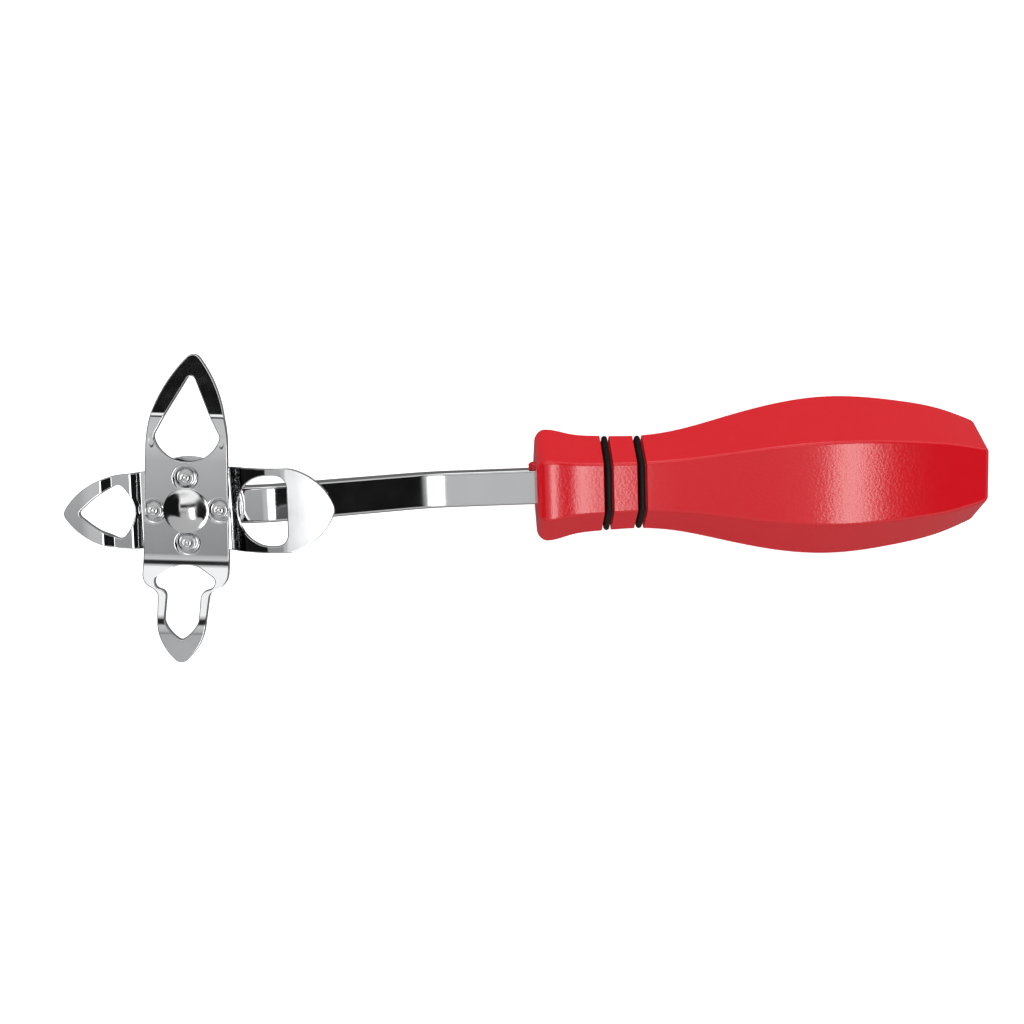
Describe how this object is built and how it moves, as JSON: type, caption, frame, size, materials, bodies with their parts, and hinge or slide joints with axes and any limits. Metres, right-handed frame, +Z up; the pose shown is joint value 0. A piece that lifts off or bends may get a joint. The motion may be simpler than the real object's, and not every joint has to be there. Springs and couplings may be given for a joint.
{
  "type": "rotating head lever opener",
  "caption": "Hand lever opener: a chromed cranked shank in a faceted plastic handle carries a swivelling head of looped, folded sheet-metal arms.",
  "frame": {"origin": "centre of the flat butt of the handle", "axes": "+X along the handle and out of the butt, +Y across the tool, +Z up and out of the front of the head; the head lies at -X"},
  "size_m": [0.2051, 0.0659, 0.0429],
  "materials": {
    "grip_plastic": "red moulded plastic, satin gloss with a fine orange-peel skin",
    "ring_rubber": "black rubber, smooth",
    "shank_chrome": "bright chrome plate on a rolled bar",
    "blade_chrome": "bright chrome plate on pressed sheet, finely brushed on the flats",
    "backing_chrome": "bright chrome plate",
    "rivet_steel": "bright plated rivet with turned marks",
    "spring_steel": "hardened spring strip",
    "washer_steel": "plated washer"
  },
  "bodies": {
    "handle": {"handle_grip": "grip_plastic", "front_ring": "ring_rubber", "rear_ring": "ring_rubber", "shank": "shank_chrome", "index_spring": "spring_steel"},
    "head": {"front_blade": "blade_chrome", "rear_blade": "blade_chrome", "backing_plate": "backing_chrome", "pivot_rivet": "rivet_steel", "back_washer": "washer_steel", "blade_rivet_right": "rivet_steel", "blade_rivet_top": "rivet_steel", "blade_rivet_left": "rivet_steel", "blade_rivet_bottom": "rivet_steel"}
  },
  "joints": [
    {"name": "head_swivel", "type": "hinge", "parent": "handle", "child": "head", "pos_m": [-0.1795, 0, 0.0185], "axis": [0, 0, 1], "continuous": true, "deforming": ["index_spring"]}
  ]
}
